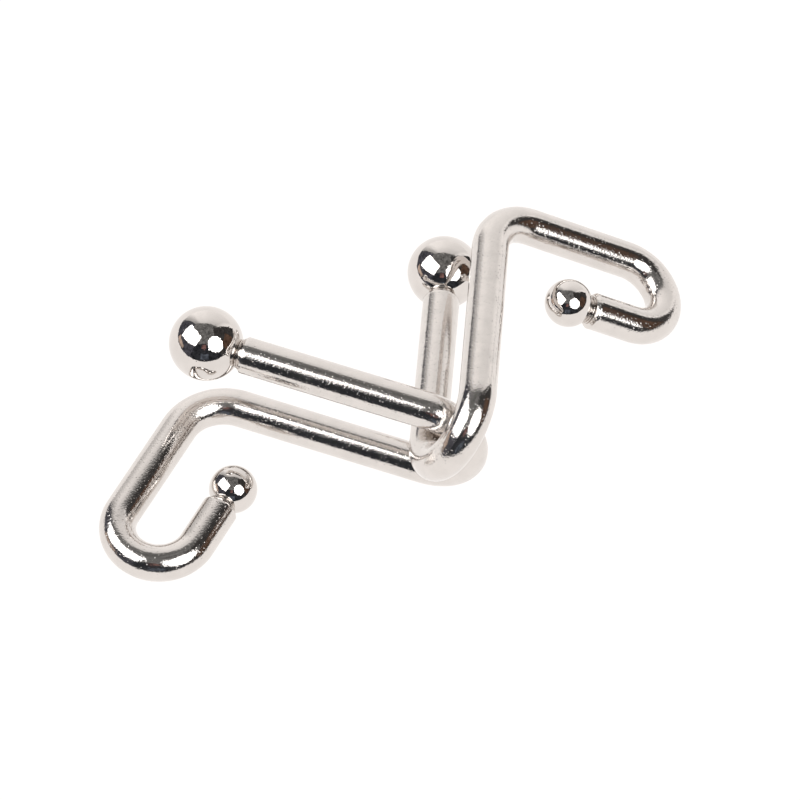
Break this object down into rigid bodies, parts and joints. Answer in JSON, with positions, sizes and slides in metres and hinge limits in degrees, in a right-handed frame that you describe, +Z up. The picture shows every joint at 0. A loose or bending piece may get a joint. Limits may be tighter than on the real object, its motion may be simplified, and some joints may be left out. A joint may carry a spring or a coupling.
{
  "type": "bent-bar disentanglement puzzle",
  "caption": "Two bent metal bars with a ball on every end, hooked through each other as a take-apart puzzle.",
  "frame": {"origin": "middle of the linked pair's footprint, on the table", "axes": "+Z up from the table; X along the straight legs of the left link, with +X from its large ball to its U bend; +Y towards the right link's large ball"},
  "size_m": [0.0628, 0.0716, 0.0235],
  "materials": {
    "plated_bar": "bright nickel plate over a drawn and bent steel bar",
    "plated_ball": "bright nickel plate over a polished steel ball"
  },
  "bodies": {
    "left_link": {"left_bar": "plated_bar", "left_large_ball": "plated_ball", "left_small_ball": "plated_ball"},
    "right_link": {"right_bar": "plated_bar", "right_large_ball": "plated_ball", "right_small_ball": "plated_ball"}
  },
  "joints": [
    {"name": "link_slide", "type": "slide", "parent": "left_link", "child": "right_link", "axis": [-1, 0, 0], "range_m": [0, 0.026]}
  ]
}
